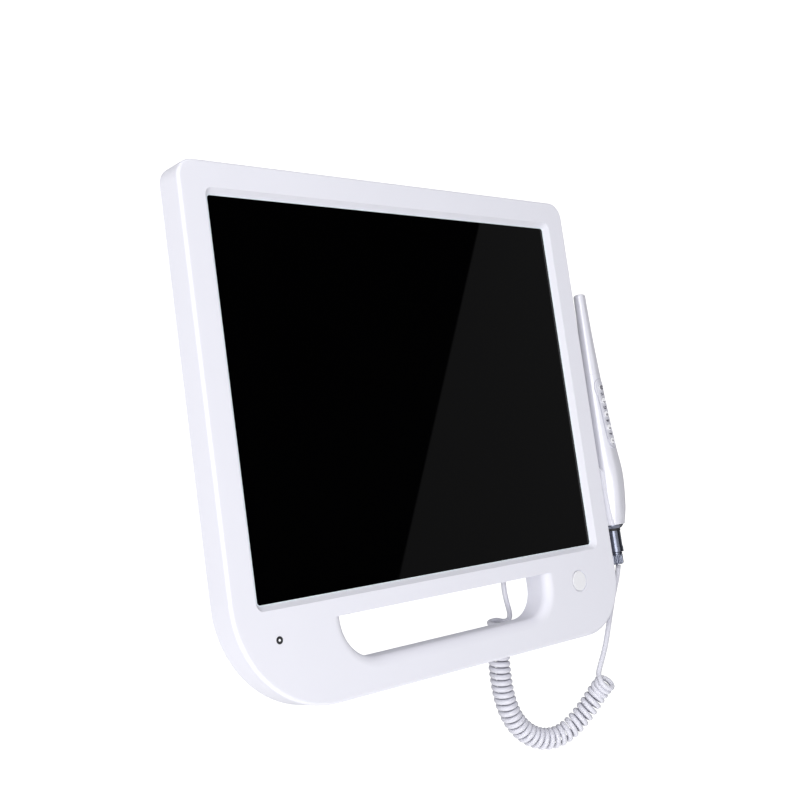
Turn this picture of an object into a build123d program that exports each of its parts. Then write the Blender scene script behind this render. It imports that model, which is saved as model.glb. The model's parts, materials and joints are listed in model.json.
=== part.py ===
from build123d import *

import math
import os

os.makedirs("parts", exist_ok=True)

# Intraoral camera station: a 5:4 monitor with a hand opening in its lower frame, a camera
# handpiece resting in a cup on the right side, and the curly lead that joins the two.
#
# Millimetres. +Z is up, the screen faces -Y, +X is to the viewer's right.
# The origin is the centre of the arm mount's four holes, on the rear mount face.

# ---- Driving dimensions ----------------------------------------------------------------

screen_w = 337.9  # 17 inch 5:4 panel, active area
screen_h = 270.3
screen_y = -45.0
bevel_reach = 3.4  # how far the window's bevel reaches beyond the screen at the front

front_y = -49.8
shell_back_y = -27.4
half_w = 191.75
top_z = 157.1
bottom_z = -206.0
top_corner_r = 13.0
left_corner_r = 75.0
right_corner_r = 45.0
wall = 2.5
front_edge_r = 2.4
fit = 0.15  # gap all round between two pieces that sit in one another

opening_half_w = 104.0
opening_top_z = -150.5
opening_bottom_z = -182.5
opening_left_r = 30.0
opening_right_r = 22.0
opening_flare_r = 7.5
opening_wall = 5.0
opening_top_wall = 2.2

bulge_seat_y = shell_back_y + 0.05
bulge_y = -4.0
bulge_half_w = 148.0
bulge_top_z = 128.0
bulge_bottom_z = -136.0
bay_left_x = -45.0
bay_right_x = 125.0
bay_top_z = -104.0
pad_side = 130.0

arm_pitch = 100.0
arm_thread_r = 2.0
insert_r = 3.1
insert_length = 8.0

button_x = 142.5
button_z = -161.5
button_r = 7.9
button_travel = 1.2

lamp_x = -157.9
lamp_z = -157.9

wand_x = 210.0
wand_y = -41.5
wand_wall = 1.4
wand_base_z = -124.0
wand_top_z = 79.0
body_low_z = -122.4
connector_y = wand_y + 2.8
connector_end_z = -156.1
key_pitch = 11.65
key_count = 5
key_top_z = -4.6
key_r = 2.6
key_travel = 0.6

cord_r = 2.1
coil_r = 9.0
plug_x = 92.0
plug_y = -14.0
boot_end_z = -149.0

# Radius and backward shift of the handpiece's round sections, upwards from its base.
section_pitch = 12.0
section_forms = [
    (10.2, 2.4),
    (11.7, 1.1),
    (12.2, -0.2),
    (12.3, -1.2),
    (12.1, -1.5),
    (11.3, -1.1),
    (10.4, -0.7),
    (9.6, -0.4),
    (8.9, -0.2),
    (8.3, 0.0),
    (7.7, 0.0),
    (7.2, 0.0),
]
wand_joint_z = wand_base_z + section_pitch * (len(section_forms) - 1)

# The same for the cup's cavity. It is as wide everywhere as what passes when the
# handpiece is lifted straight up.
cavity_forms = [(10.6, 2.4), (11.9, 1.2), (12.5, 0.3), (12.9, -0.1), (12.9, -0.1), (12.9, -0.1)]


# ---- Helpers ---------------------------------------------------------------------------


def at_y(y):
    """Upright plane at depth y: local x is X, local y is Z, and it faces the viewer."""
    return Plane.XZ.offset(-y)


def finish(part, name):
    """Labels one piece and writes it."""
    part.label = name
    export_step(part, f"parts/{name}.step")


def upright_plate(name, width, height, front, thickness, x=0.0, z=0.0):
    """A plain plate that stands facing the viewer, its front face at the given depth."""
    with BuildPart() as plate:
        with BuildSketch(at_y(front + thickness)):
            with Locations((x, z)):
                Rectangle(width, height)
        extrude(amount=thickness)
    finish(plate.part, name)


def housing_outline(inset=0.0):
    """Outline of the monitor: small upper corners, a large and a middling lower corner."""
    with BuildSketch() as outline:
        with Locations((0, (top_z + bottom_z) / 2)):
            Rectangle(2 * (half_w - inset), top_z - bottom_z - 2 * inset)
        fillet(outline.vertices().group_by(Axis.Y)[-1], top_corner_r - inset)
        fillet(outline.vertices().group_by(Axis.Y)[0].sort_by(Axis.X)[0], left_corner_r - inset)
        fillet(outline.vertices().group_by(Axis.Y)[0].sort_by(Axis.X)[-1], right_corner_r - inset)
    return outline.sketch


def opening_outline(grow=0.0, top=opening_top_z):
    """Outline of the hand opening, grown by a margin at its sides and bottom."""
    bottom = opening_bottom_z - grow
    with BuildSketch() as outline:
        with Locations((0, (top + bottom) / 2)):
            Rectangle(2 * (opening_half_w + grow), top - bottom)
        fillet(outline.vertices().group_by(Axis.Y)[0].sort_by(Axis.X)[0], opening_left_r + grow)
        fillet(outline.vertices().group_by(Axis.Y)[0].sort_by(Axis.X)[-1], opening_right_r + grow)
    return outline.sketch


def screw_group(name, spots, head_y, head_r, head_h, shank_r, shank_l):
    """Identical screws driven from behind, the heads' bearing faces at head_y."""
    with BuildPart() as screws:
        with BuildSketch(at_y(head_y)):
            with Locations(*spots):
                Circle(head_r)
        extrude(amount=-head_h)
        with BuildSketch(at_y(head_y)):
            with Locations(*spots):
                Circle(shank_r)
        extrude(amount=shank_l)
        with BuildSketch(at_y(head_y + head_h)):
            with Locations(*spots):
                Rectangle(head_r, 0.6)
                Rectangle(0.6, head_r)
        extrude(amount=head_h / 2, mode=Mode.SUBTRACT)
    finish(screws.part, name)


# ---- Monitor housing -------------------------------------------------------------------

housing_depth = shell_back_y - front_y
cover_bosses = [(-181, 138), (0, 148), (181, 138), (-181, -125), (181, -125), (-128, -166), (132, -189)]
panel_bosses = [(-181, 100), (-181, -100), (181, 100), (181, -100)]
key_board_bosses = [(button_x - 13, button_z), (button_x + 13, button_z)]
lamp_board_bosses = [(lamp_x - 8, lamp_z), (lamp_x + 8, lamp_z)]
plate_y = shell_back_y - wall
bracket_y = -36.9
board_boss_y = -38.0
holder_screw_z = (-86.0, -112.0)
holder_screw_y = -37.5
flare_block_top = opening_top_z + 30.0

with BuildPart() as front_housing:
    with BuildSketch(at_y(shell_back_y)):
        add(housing_outline())
    extrude(amount=housing_depth)
    face = front_housing.faces().sort_by(Axis.Y)[0]
    fillet(face.outer_wire().edges(), front_edge_r)
    # The hand opening flares at the front of its sides and bottom; its top edge stays crisp.
    with BuildSketch(at_y(shell_back_y)):
        add(opening_outline(top=opening_top_z + 20.0))
    extrude(amount=housing_depth, mode=Mode.SUBTRACT)
    face = front_housing.faces().sort_by(Axis.Y)[0]
    fillet(face.inner_wires()[0].edges(), opening_flare_r)
    with BuildSketch(at_y(shell_back_y)):
        with Locations((0, (opening_top_z + flare_block_top) / 2)):
            Rectangle(2 * (opening_half_w + opening_flare_r) + 2, flare_block_top - opening_top_z)
    extrude(amount=housing_depth)
    # Hollow inside, with walls kept round the hand opening.
    with BuildSketch(at_y(shell_back_y)):
        add(housing_outline(wall))
        add(opening_outline(opening_wall, opening_top_z + opening_top_wall), mode=Mode.SUBTRACT)
    extrude(amount=housing_depth - wall, mode=Mode.SUBTRACT)
    # Raised rim behind the window, and the bevelled window itself.
    with BuildSketch(at_y(screen_y)):
        RectangleRounded(screen_w + 16, screen_h + 16, 8)
    extrude(amount=screen_y - front_y - wall)
    with BuildSketch(at_y(screen_y)):
        RectangleRounded(screen_w, screen_h, 3)
    with BuildSketch(at_y(front_y)):
        RectangleRounded(screen_w + 2 * bevel_reach, screen_h + 2 * bevel_reach, 5.5)
    loft(mode=Mode.SUBTRACT)
    # Bosses for the cover, the panel and the two small boards.
    for spots, boss_y, boss_r, hole_r in (
        (cover_bosses, plate_y - fit, 4.0, 1.4),
        (panel_bosses, bracket_y - 0.05, 4.0, 1.4),
        (key_board_bosses, board_boss_y, 3.0, 1.1),
        (lamp_board_bosses, board_boss_y, 3.0, 1.1),
    ):
        with BuildSketch(at_y(boss_y)):
            with Locations(*spots):
                Circle(boss_r)
        extrude(amount=boss_y - front_y - wall)
        with BuildSketch(at_y(boss_y)):
            with Locations(*spots):
                Circle(hole_r)
        extrude(amount=min(12.0, boss_y - front_y - wall), mode=Mode.SUBTRACT)
    # Power button seat: a hole with a shallow groove round it.
    with BuildSketch(at_y(front_y + wall)):
        with Locations((button_x, button_z)):
            Circle(button_r + 0.25)
    extrude(amount=wall, mode=Mode.SUBTRACT)
    with BuildSketch(at_y(front_y + 0.6)):
        with Locations((button_x, button_z)):
            Circle(button_r + 1.1)
    extrude(amount=0.6, mode=Mode.SUBTRACT)
    # Seat of the receiver ring.
    with BuildSketch(at_y(front_y + wall)):
        with Locations((lamp_x, lamp_z)):
            Circle(2.55)
    extrude(amount=wall, mode=Mode.SUBTRACT)
    # Holes in the right wall for the cup's screws.
    with BuildSketch(Plane.YZ.offset(half_w)):
        with Locations(*[(holder_screw_y, z) for z in holder_screw_z]):
            Circle(1.6)
    extrude(amount=-wall, mode=Mode.SUBTRACT)
finish(front_housing.part, "front_housing")

vent_columns = 22
vent_pitch = 8.0
vent_z = 92.0
arm_spots = [(x * arm_pitch / 2, z * arm_pitch / 2) for x in (-1, 1) for z in (-1, 1)]
bulge_bosses = [(x, z) for x in (-139.5, 139.5) for z in (-127.5, 119.5)]


def bulge_outline(inset=0.0):
    """Outline of the rear bulge with the socket bay notched out of its lower edge."""
    with BuildSketch() as outline:
        with Locations((0, (bulge_top_z + bulge_bottom_z) / 2)):
            Rectangle(2 * (bulge_half_w - inset), bulge_top_z - bulge_bottom_z - 2 * inset)
        fillet(outline.vertices(), 16 - inset)
        with BuildLine():
            Polyline(
                (bay_left_x - inset, bulge_bottom_z - 5),
                (bay_left_x - inset, bay_top_z + inset),
                (bay_right_x + inset, bay_top_z + inset),
                (bay_right_x + inset, bulge_bottom_z - 5),
                close=True,
            )
        make_face(mode=Mode.SUBTRACT)
    return outline.sketch


with BuildPart() as rear_cover:
    with BuildSketch(at_y(shell_back_y)):
        add(housing_outline(wall + fit))
        opening_hole = opening_outline(opening_wall + fit, opening_top_z + opening_top_wall + fit)
        add(opening_hole, mode=Mode.SUBTRACT)
        add(bulge_outline(wall), mode=Mode.SUBTRACT)
        with Locations(*bulge_bosses):
            Circle(7)
            Circle(1.6, mode=Mode.SUBTRACT)
    extrude(amount=wall)
    # Screw holes, with the heads sunk flush.
    with BuildSketch(at_y(shell_back_y)):
        with Locations(*cover_bosses):
            Circle(1.6)
    extrude(amount=wall, mode=Mode.SUBTRACT)
    with BuildSketch(at_y(shell_back_y)):
        with Locations(*cover_bosses):
            Circle(2.95)
    extrude(amount=1.5, mode=Mode.SUBTRACT)
finish(rear_cover.part, "rear_cover")

with BuildPart() as bulge_cover:
    with BuildSketch(at_y(bulge_y)):
        add(bulge_outline())
    extrude(amount=bulge_y - bulge_seat_y)
    fillet(bulge_cover.faces().sort_by(Axis.Y)[-1].outer_wire().edges(), 5)
    with BuildSketch(at_y(0)):
        RectangleRounded(pad_side, pad_side, 10)
    extrude(amount=-bulge_y)
    with BuildSketch(at_y(bulge_y - wall)):
        add(bulge_outline(wall))
    extrude(amount=bulge_y - wall - bulge_seat_y, mode=Mode.SUBTRACT)
    # Corner bosses that stand on the flat cover, screwed to it from inside.
    with BuildSketch(at_y(bulge_y - wall)):
        with Locations(*bulge_bosses):
            Circle(4.5)
    extrude(amount=bulge_y - wall - bulge_seat_y)
    with BuildSketch(at_y(bulge_seat_y)):
        with Locations(*bulge_bosses):
            Circle(1.4)
    extrude(amount=-12, mode=Mode.SUBTRACT)
    # Bosses for the threaded inserts of the arm mount.
    with BuildSketch(at_y(bulge_y - wall)):
        with Locations(*arm_spots):
            Circle(6)
    extrude(amount=5.5)
    with BuildSketch(at_y(0)):
        with Locations(*arm_spots):
            Circle(insert_r + 0.05)
    extrude(amount=12, mode=Mode.SUBTRACT)
    # Cooling slots along the top of the bulge.
    with BuildSketch(at_y(bulge_y)):
        with Locations((0, vent_z)):
            with GridLocations(vent_pitch, 1, vent_columns, 1):
                SlotOverall(24, 3, rotation=90)
    extrude(amount=wall, mode=Mode.SUBTRACT)
    # Socket openings in the ceiling of the bay.
    with BuildSketch(Plane.XY.offset(bay_top_z)):
        with Locations((-25, -20.3)):
            Rectangle(9.3, 9.3)
        with Locations((2, -21.8)):
            Rectangle(15.3, 6.3)
        with Locations((28, -21.3), (48, -21.3)):
            Rectangle(14.3, 7.3)
        with Locations((plug_x, plug_y)):
            Circle(5.65)
    extrude(amount=wall, mode=Mode.SUBTRACT)
finish(bulge_cover.part, "bulge_cover")

screw_group("cover_screws", cover_bosses, shell_back_y - 1.5, 2.8, 1.4, 1.35, 11)
# These point the other way, so their head height and length are negative.
screw_group("bulge_screws", bulge_bosses, plate_y - 0.05, 2.8, -1.4, 1.35, -11)

with BuildPart() as arm_inserts:
    with BuildSketch(at_y(0)):
        with Locations(*arm_spots):
            Circle(insert_r)
            Circle(arm_thread_r, mode=Mode.SUBTRACT)
    extrude(amount=insert_length)
finish(arm_inserts.part, "arm_inserts")

with BuildPart() as arm_plate:
    with BuildSketch(at_y(-12.05)):
        RectangleRounded(126, 126, 5)
        RectangleRounded(70, 70, 8, mode=Mode.SUBTRACT)
        with Locations(*arm_spots):
            Circle(arm_thread_r + 0.3, mode=Mode.SUBTRACT)
    extrude(amount=1.5)
finish(arm_plate.part, "arm_plate")

# ---- Screen ----------------------------------------------------------------------------

glass_t = 1.8
cell_y = screen_y + glass_t + 0.1
cell_t = 1.2
guide_t = 4.0
upright_plate("screen_glass", screen_w + 10, screen_h + 10, screen_y + 0.05, glass_t)
upright_plate("lcd_cell", 342, 274, cell_y, cell_t)
upright_plate("light_guide", 342, 274, cell_y + cell_t + 0.05, guide_t)

tray_floor_y = cell_y + cell_t + guide_t + 0.1
tray_t = 0.8
with BuildPart() as lcd_tray:
    with BuildSketch(at_y(tray_floor_y + tray_t)):
        Rectangle(344, 276)
    extrude(amount=tray_floor_y + tray_t - cell_y)
    with BuildSketch(at_y(tray_floor_y)):
        Rectangle(342.4, 274.4)
    extrude(amount=tray_floor_y - cell_y, mode=Mode.SUBTRACT)
finish(lcd_tray.part, "lcd_tray")

bracket_t = 1.2
with BuildPart() as panel_brackets:
    with BuildSketch(at_y(bracket_y + bracket_t)):
        with Locations((-168, 0), (168, 0)):
            Rectangle(36, 224)
        with Locations(*panel_bosses):
            Circle(1.6, mode=Mode.SUBTRACT)
    extrude(amount=bracket_t)
finish(panel_brackets.part, "panel_brackets")
screw_group("panel_screws", panel_bosses, bracket_y + bracket_t + 0.05, 2.7, 1.8, 1.35, 9)

# ---- Electronics -----------------------------------------------------------------------

chassis_y = bracket_y + bracket_t + 0.05
chassis_t = 1.2
board_y = -26.4
board_t = 1.6
main_spots = [(-14, -94), (114, -94), (-14, -6), (114, -6)]
power_spots = [(-126, -94), (-48, -94), (-126, 4), (-48, 4)]
with BuildPart() as chassis_plate:
    with BuildSketch(at_y(chassis_y + chassis_t)):
        RectangleRounded(320, 190, 6)
        with Locations((0, 55)):
            SlotOverall(200, 30, mode=Mode.SUBTRACT)
    extrude(amount=chassis_t)
finish(chassis_plate.part, "chassis_plate")

with BuildPart() as board_standoffs:
    with BuildSketch(at_y(board_y - 0.05)):
        with Locations(*main_spots, *power_spots):
            RegularPolygon(2.7, 6)
            Circle(1.3, mode=Mode.SUBTRACT)
    extrude(amount=board_y - chassis_y - chassis_t - 0.1)
finish(board_standoffs.part, "board_standoffs")
screw_group("board_screws", main_spots + power_spots, board_y + board_t + 0.05, 2.6, 1.7, 1.25, 6)

with BuildPart() as main_board:
    with BuildSketch(at_y(board_y + board_t)):
        with Locations((50, -50)):
            Rectangle(140, 100)
        with Locations(*main_spots):
            Circle(1.6, mode=Mode.SUBTRACT)
    extrude(amount=board_t)
    with BuildSketch(at_y(board_y + board_t)):
        with Locations((45, -38)):
            Rectangle(24, 24)
        with Locations((82, -30), (82, -50)):
            Rectangle(14, 10)
        with Locations((8, -24)):
            Rectangle(30, 7)
    extrude(amount=-2.2)
finish(main_board.part, "main_board")

sink_y = board_y + board_t + 2.25
with BuildPart() as heat_sink:
    with BuildSketch(at_y(sink_y + 2)):
        with Locations((45, -38)):
            Rectangle(28, 28)
    extrude(amount=2)
    with BuildSketch(at_y(sink_y + 9)):
        with Locations((45, -38)):
            with GridLocations(4.4, 1, 7, 1):
                Rectangle(1.2, 28)
    extrude(amount=7)
finish(heat_sink.part, "heat_sink")

with BuildPart() as power_board:
    with BuildSketch(at_y(board_y + board_t)):
        with Locations((-87, -45)):
            Rectangle(90, 110)
        with Locations(*power_spots):
            Circle(1.6, mode=Mode.SUBTRACT)
    extrude(amount=board_t)
    with BuildSketch(at_y(board_y + board_t)):
        with Locations((-102, -60), (-102, -40), (-72, -74)):
            Circle(6)
        with Locations((-72, -36)):
            RectangleRounded(28, 24, 2)
    extrude(amount=-10)
finish(power_board.part, "power_board")

socket_floor_y = board_y + board_t + 0.05
socket_low_z = bay_top_z + 0.3
with BuildPart() as dc_jack:
    with BuildSketch(Plane.XY.offset(socket_low_z)):
        with Locations((-25, socket_floor_y + 4.5)):
            Rectangle(9, 9)
    extrude(amount=14)
    with BuildSketch(Plane.XY.offset(socket_low_z)):
        with Locations((-25, socket_floor_y + 4.5)):
            Circle(2.9)
            Circle(1.0, mode=Mode.SUBTRACT)
    extrude(amount=9, mode=Mode.SUBTRACT)
finish(dc_jack.part, "dc_jack")

with BuildPart() as hdmi_socket:
    with BuildSketch(Plane.XY.offset(socket_low_z)):
        with Locations((2, socket_floor_y + 3)):
            Rectangle(15, 6)
    extrude(amount=12)
    with BuildSketch(Plane.XY.offset(socket_low_z)):
        with Locations((2, socket_floor_y + 3)):
            Rectangle(14, 4.6)
            Rectangle(11.5, 1.3, mode=Mode.SUBTRACT)
    extrude(amount=8, mode=Mode.SUBTRACT)
finish(hdmi_socket.part, "hdmi_socket")

with BuildPart() as usb_sockets:
    with BuildSketch(Plane.XY.offset(socket_low_z)):
        with Locations((28, socket_floor_y + 3.5), (48, socket_floor_y + 3.5)):
            Rectangle(14, 7)
    extrude(amount=14)
    with BuildSketch(Plane.XY.offset(socket_low_z)):
        with Locations((28, socket_floor_y + 3.5), (48, socket_floor_y + 3.5)):
            Rectangle(12.6, 5.6)
        with Locations((28, socket_floor_y + 2.6), (48, socket_floor_y + 2.6)):
            Rectangle(11.2, 2.2, mode=Mode.SUBTRACT)
    extrude(amount=9, mode=Mode.SUBTRACT)
finish(usb_sockets.part, "usb_sockets")

with BuildPart() as wand_socket:
    with BuildSketch(Plane.XY.offset(bay_top_z - 0.05)):
        with Locations((plug_x, plug_y)):
            Circle(7)
    extrude(amount=-1.5)
    with BuildSketch(Plane.XY.offset(bay_top_z - 0.05)):
        with Locations((plug_x, plug_y)):
            Circle(5.5)
    extrude(amount=11)
    with BuildSketch(Plane.XY.offset(bay_top_z - 1.6)):
        with Locations((plug_x, plug_y)):
            Circle(4.55)
    extrude(amount=10, mode=Mode.SUBTRACT)
finish(wand_socket.part, "wand_socket")

# ---- Power button and receiver ---------------------------------------------------------

switch_y = board_boss_y - 3.5
with BuildPart() as power_button:
    with BuildSketch(at_y(front_y + wall + 0.1)):
        with Locations((button_x, button_z)):
            Circle(button_r)
    extrude(amount=wall + 0.4)
    fillet(power_button.faces().sort_by(Axis.Y)[0].edges(), 0.4)
    with BuildSketch(at_y(front_y + wall + 1.1)):
        with Locations((button_x, button_z)):
            Circle(9.4)
    extrude(amount=1.0)
    with BuildSketch(at_y(switch_y - button_travel - 0.1)):
        with Locations((button_x, button_z)):
            Circle(2.5)
    extrude(amount=switch_y - button_travel - front_y - wall - 0.6)
finish(power_button.part, "power_button")

with BuildPart() as power_switch:
    with BuildSketch(at_y(board_boss_y)):
        with Locations((button_x, button_z)):
            Rectangle(6, 6)
    extrude(amount=3.0)
    with BuildSketch(at_y(board_boss_y - 3.0)):
        with Locations((button_x, button_z)):
            Circle(1.75)
    extrude(amount=0.5)
finish(power_switch.part, "power_switch")

with BuildPart() as key_board:
    with BuildSketch(at_y(board_boss_y + board_t + 0.05)):
        with Locations((button_x, button_z)):
            Rectangle(32, 16)
        with Locations(*key_board_bosses):
            Circle(1.3, mode=Mode.SUBTRACT)
    extrude(amount=board_t)
finish(key_board.part, "key_board")

with BuildPart() as receiver_ring:
    with BuildSketch(at_y(front_y + wall)):
        with Locations((lamp_x, lamp_z)):
            Circle(2.5)
            Circle(0.95, mode=Mode.SUBTRACT)
    extrude(amount=wall + 0.2)
finish(receiver_ring.part, "receiver_ring")

with BuildPart() as receiver_lens:
    with BuildSketch(at_y(front_y + wall)):
        with Locations((lamp_x, lamp_z)):
            Circle(0.9)
    extrude(amount=wall + 0.1)
finish(receiver_lens.part, "receiver_lens")

with BuildPart() as receiver_board:
    with BuildSketch(at_y(board_boss_y + board_t + 0.05)):
        with Locations((lamp_x, lamp_z)):
            Rectangle(22, 12)
        with Locations(*lamp_board_bosses):
            Circle(1.3, mode=Mode.SUBTRACT)
    extrude(amount=board_t)
    with BuildSketch(at_y(board_boss_y + 0.05)):
        with Locations((lamp_x, lamp_z)):
            Rectangle(5, 5)
    extrude(amount=board_boss_y - front_y - wall - 0.5)
finish(receiver_board.part, "receiver_board")

small_board_spots = key_board_bosses + lamp_board_bosses
screw_group("small_board_screws", small_board_spots, board_boss_y + board_t + 0.1, 2.0, 1.3, 1.05, 6)

# ---- Handpiece -------------------------------------------------------------------------


def round_form(forms, grow=0.0):
    """A form that runs smoothly through a list of round sections, grown by a margin."""
    with BuildPart() as body:
        for index, (radius, shift) in enumerate(forms):
            height = wand_base_z + section_pitch * index
            with BuildSketch(Plane((wand_x, wand_y + shift, height))):
                Circle(radius + grow)
        loft()
    return body.part


def wand_length(low_z, high_z):
    """A plain cylinder that picks out one stretch of the handpiece."""
    with BuildPart() as stretch:
        with BuildSketch(Plane((wand_x, wand_y, low_z))):
            Circle(20)
        extrude(amount=high_z - low_z)
    return stretch.part


def wand_skin_y(z):
    """Depth of the handpiece's front skin at a height, straight between its sections."""
    steps = (z - wand_base_z) / section_pitch
    index = int(steps)
    (low_r, low_shift), (high_r, high_shift) = section_forms[index : index + 2]
    low_y = wand_y + low_shift - low_r
    high_y = wand_y + high_shift - high_r
    return low_y + (steps - index) * (high_y - low_y)


outer_form = round_form(section_forms)
inner_form = round_form(section_forms, -wand_wall)
body_stretch = wand_length(body_low_z, wand_joint_z - 0.05)
lens_z = 69.0
tip_r = 5.05
tip_shoulder_z = 77.0
joint_r = section_forms[-1][0]
wand_side = Plane(origin=(wand_x, wand_y, 0), x_dir=(1, 0, 0), z_dir=(0, -1, 0))

with BuildPart() as tip_tube:
    with BuildSketch(wand_side):
        with BuildLine():
            Spline((joint_r, wand_joint_z), (5.7, 46), (tip_r, tip_shoulder_z), tangents=((-0.045, 1), (-0.02, 1)))
            Spline((tip_r, tip_shoulder_z), (4.2, 78.5), (0, wand_top_z), tangents=((-0.02, 1), (-1, 0)))
            Polyline((0, wand_top_z), (0, wand_joint_z), (joint_r, wand_joint_z))
        make_face()
    revolve(axis=Axis((wand_x, wand_y, 0), (0, 0, 1)))
    with BuildSketch(wand_side):
        with BuildLine():
            Polyline(
                (0, wand_joint_z),
                (joint_r - wand_wall - 1.1, wand_joint_z),
                (5.6 - wand_wall, 46),
                (tip_r - 1.1, 64),
                (tip_r - 1.1, 76),
                (2.6, 77.6),
                (0, 77.6),
                close=True,
            )
        make_face()
    revolve(axis=Axis((wand_x, wand_y, 0), (0, 0, 1)), mode=Mode.SUBTRACT)
    # Spigot that plugs into the body shells.
    with BuildSketch(Plane((wand_x, wand_y, wand_joint_z + 1))):
        Circle(joint_r - wand_wall - 0.1)
        Circle(joint_r - wand_wall - 1.1, mode=Mode.SUBTRACT)
    extrude(amount=-6)
    with BuildSketch(at_y(wand_y + 3.2)):
        with Locations((wand_x, lens_z)):
            Circle(3.25)
    extrude(amount=-6, mode=Mode.SUBTRACT)
finish(tip_tube.part, "tip_tube")

key_zs = [key_top_z - key_pitch * i for i in range(key_count)]
panel_mid_z = (key_zs[0] + key_zs[-1]) / 2
panel_length = key_zs[0] - key_zs[-1] + 13.0
panel_grow = 0.5

with BuildPart() as body_front_shell:
    add(outer_form)
    add(body_stretch, mode=Mode.INTERSECT)
    add(inner_form, mode=Mode.SUBTRACT)
    split(bisect_by=Plane.XZ.offset(-wand_y), keep=Keep.TOP)
    for z in key_zs:
        with BuildSketch(at_y(wand_y)):
            with Locations((wand_x, z)):
                Circle(key_r + 0.25)
        extrude(amount=20, mode=Mode.SUBTRACT)
finish(body_front_shell.part, "body_front_shell")

with BuildPart() as body_rear_shell:
    add(outer_form)
    add(body_stretch, mode=Mode.INTERSECT)
    add(inner_form, mode=Mode.SUBTRACT)
    split(bisect_by=Plane.XZ.offset(-wand_y), keep=Keep.BOTTOM)
finish(body_rear_shell.part, "body_rear_shell")

with BuildPart() as control_panel:
    with BuildSketch(at_y(wand_y - 4)):
        with Locations((wand_x, panel_mid_z)):
            SlotOverall(panel_length, 8.4, rotation=90)
        with Locations(*[(wand_x, z) for z in key_zs]):
            Circle(key_r + 0.25, mode=Mode.SUBTRACT)
    extrude(amount=20)
    add(round_form(section_forms, panel_grow), mode=Mode.INTERSECT)
    add(round_form(section_forms, 0.02), mode=Mode.SUBTRACT)
finish(control_panel.part, "control_panel")

board_front_y = wand_y - 1.0
key_switch_h = 1.5
for index, z in enumerate(key_zs):
    skin_y = wand_skin_y(z)
    flange_y = skin_y + wand_wall + 1.6
    stem_y = board_front_y - key_switch_h - key_travel - 0.1
    with BuildPart() as key:
        with BuildSketch(at_y(flange_y)):
            with Locations((wand_x, z)):
                Circle(key_r)
        extrude(amount=flange_y - skin_y + panel_grow + 0.5)
        fillet(key.faces().sort_by(Axis.Y)[0].edges(), 0.5)
        with BuildSketch(at_y(flange_y + 0.5)):
            with Locations((wand_x, z)):
                Circle(3.0)
        extrude(amount=0.5)
        with BuildSketch(at_y(stem_y)):
            with Locations((wand_x, z)):
                Circle(1.2)
        extrude(amount=stem_y - flange_y)
    finish(key.part, f"key_{index + 1}")

upright_plate("handpiece_board", 9.6, 104, board_front_y, 1.2, wand_x, -54)

with BuildPart() as key_switches:
    with BuildSketch(at_y(board_front_y - 0.02)):
        with Locations(*[(wand_x, z) for z in key_zs]):
            Rectangle(4.2, 4.2)
    extrude(amount=key_switch_h)
finish(key_switches.part, "key_switches")

with BuildPart() as tip_window:
    with BuildSketch(at_y(wand_y + 4.2)):
        with Locations((wand_x, lens_z)):
            Circle(3.2)
    extrude(amount=0.95)
finish(tip_window.part, "tip_window")

with BuildPart() as tip_lamps:
    with BuildSketch(at_y(wand_y + 2.2)):
        with Locations((wand_x, lens_z)):
            Circle(2.4)
            Circle(1.5, mode=Mode.SUBTRACT)
    extrude(amount=0.5)
    with BuildSketch(at_y(wand_y + 2.8)):
        with Locations((wand_x, lens_z)):
            with PolarLocations(1.95, 6):
                Rectangle(0.75, 0.75)
    extrude(amount=0.6)
finish(tip_lamps.part, "tip_lamps")

with BuildPart() as lens_barrel:
    with BuildSketch(at_y(wand_y + 3.0)):
        with Locations((wand_x, lens_z)):
            Circle(1.4)
    extrude(amount=3.8)
finish(lens_barrel.part, "lens_barrel")

upright_plate("sensor_board", 5.0, 9.0, wand_y - 1.65, 0.8, wand_x, lens_z)


def connector_ring(name, low_z, high_z, outer_r, inner_r, chamfer_low=0.0):
    """A ring round the connector's axis, its lower outer edge chamfered if asked."""
    with BuildPart() as ring:
        with BuildSketch(Plane((wand_x, connector_y, high_z))):
            Circle(outer_r)
            Circle(inner_r, mode=Mode.SUBTRACT)
        extrude(amount=low_z - high_z)
        if chamfer_low:
            chamfer(ring.faces().sort_by(Axis.Z)[0].outer_wire().edges(), chamfer_low)
    finish(ring.part, name)


ring_low_z = -125.4
seal_low_z = -127.5
flange_top_z = -141.0
nut_top_z = -145.7
nut_low_z = -155.8
sleeve_r = 6.1
spigot_r = 4.5
stem_r = 3.6
connector_ring("base_ring", ring_low_z, body_low_z - 0.05, 9.5, spigot_r + 0.1, 2.2)
connector_ring("seal_ring", seal_low_z, ring_low_z - 0.05, 6.4, spigot_r + 0.1)

with BuildPart() as connector_sleeve:
    with BuildSketch(Plane((wand_x, connector_y, seal_low_z - 0.05))):
        Circle(sleeve_r)
    extrude(amount=flange_top_z - seal_low_z)
    with BuildSketch(Plane((wand_x, connector_y, flange_top_z))):
        Circle(sleeve_r + 0.35)
    extrude(amount=nut_top_z + 0.2 - flange_top_z)
    with BuildSketch(Plane((wand_x, connector_y, nut_top_z + 0.2))):
        Circle(stem_r)
    extrude(amount=connector_end_z - nut_top_z - 0.2)
    with BuildSketch(Plane((wand_x, connector_y, seal_low_z - 0.05))):
        Circle(spigot_r)
    extrude(amount=11)
finish(connector_sleeve.part, "connector_sleeve")

with BuildPart() as lock_nut:
    with BuildSketch(Plane((wand_x, connector_y, nut_top_z))):
        Circle(5.0)
        with PolarLocations(5.0, 18):
            Circle(0.35, mode=Mode.SUBTRACT)
        Circle(stem_r + 0.06, mode=Mode.SUBTRACT)
    extrude(amount=nut_low_z - nut_top_z)
finish(lock_nut.part, "lock_nut")

# ---- Cup that holds the handpiece ------------------------------------------------------

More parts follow.
